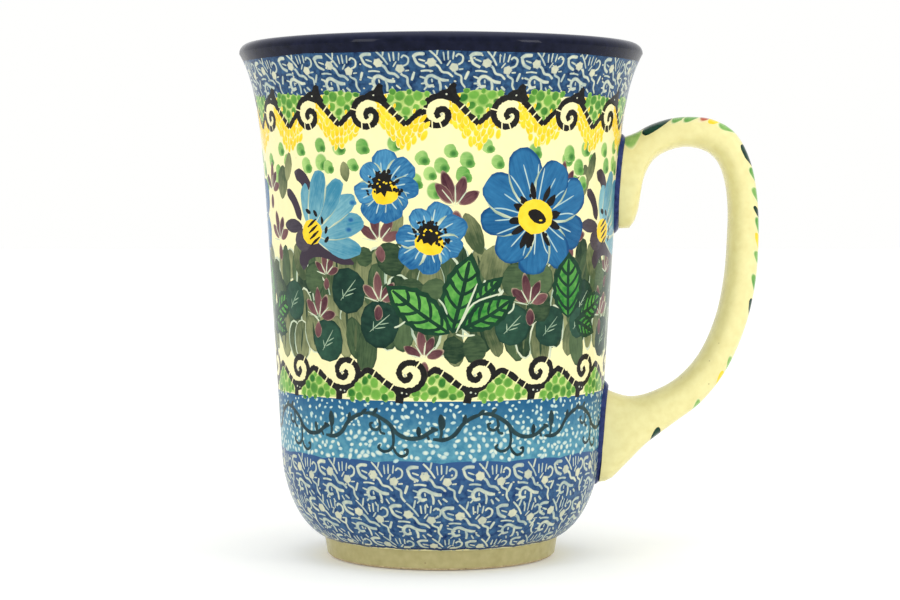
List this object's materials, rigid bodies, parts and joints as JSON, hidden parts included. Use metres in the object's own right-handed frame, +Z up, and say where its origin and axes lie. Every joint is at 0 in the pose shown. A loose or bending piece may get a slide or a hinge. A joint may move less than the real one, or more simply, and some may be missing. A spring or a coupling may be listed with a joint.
{
  "type": "mug",
  "caption": "Flared drinking mug of glazed stoneware with a rolled lip, rounded bowl, turned foot ring and ear-shaped strap handle, painted with flowers and scroll borders",
  "frame": {"origin": "centre of the bounding box's base: on the table plane, midway between the lip's far side and the handle's outermost point; the cup's own axis stands at X = -13.7 mm", "axes": "+Z up the cup's axis, +X towards the handle, and +Y away from the front of the decoration"},
  "size_m": [0.1232, 0.0958, 0.1206],
  "materials": {
    "stoneware_clay": "fired buff stoneware, matte where it is bare",
    "cobalt_slip": "cobalt line painted over the slip, glazed",
    "painted_glaze": "clear gloss glaze over stamped and brushed underglaze colours on cream",
    "cream_glaze": "clear gloss glaze over cream stoneware",
    "cobalt_glaze": "deep cobalt gloss glaze"
  },
  "bodies": {
    "root": {"mug_body": "stoneware_clay", "handle": "stoneware_clay", "upper_slip_joint": "cobalt_slip", "lower_slip_joint": "cobalt_slip", "outer_glaze": "painted_glaze", "handle_glaze": "cream_glaze", "lip_glaze": "cobalt_glaze", "liner_glaze": "cream_glaze"}
  },
  "joints": []
}
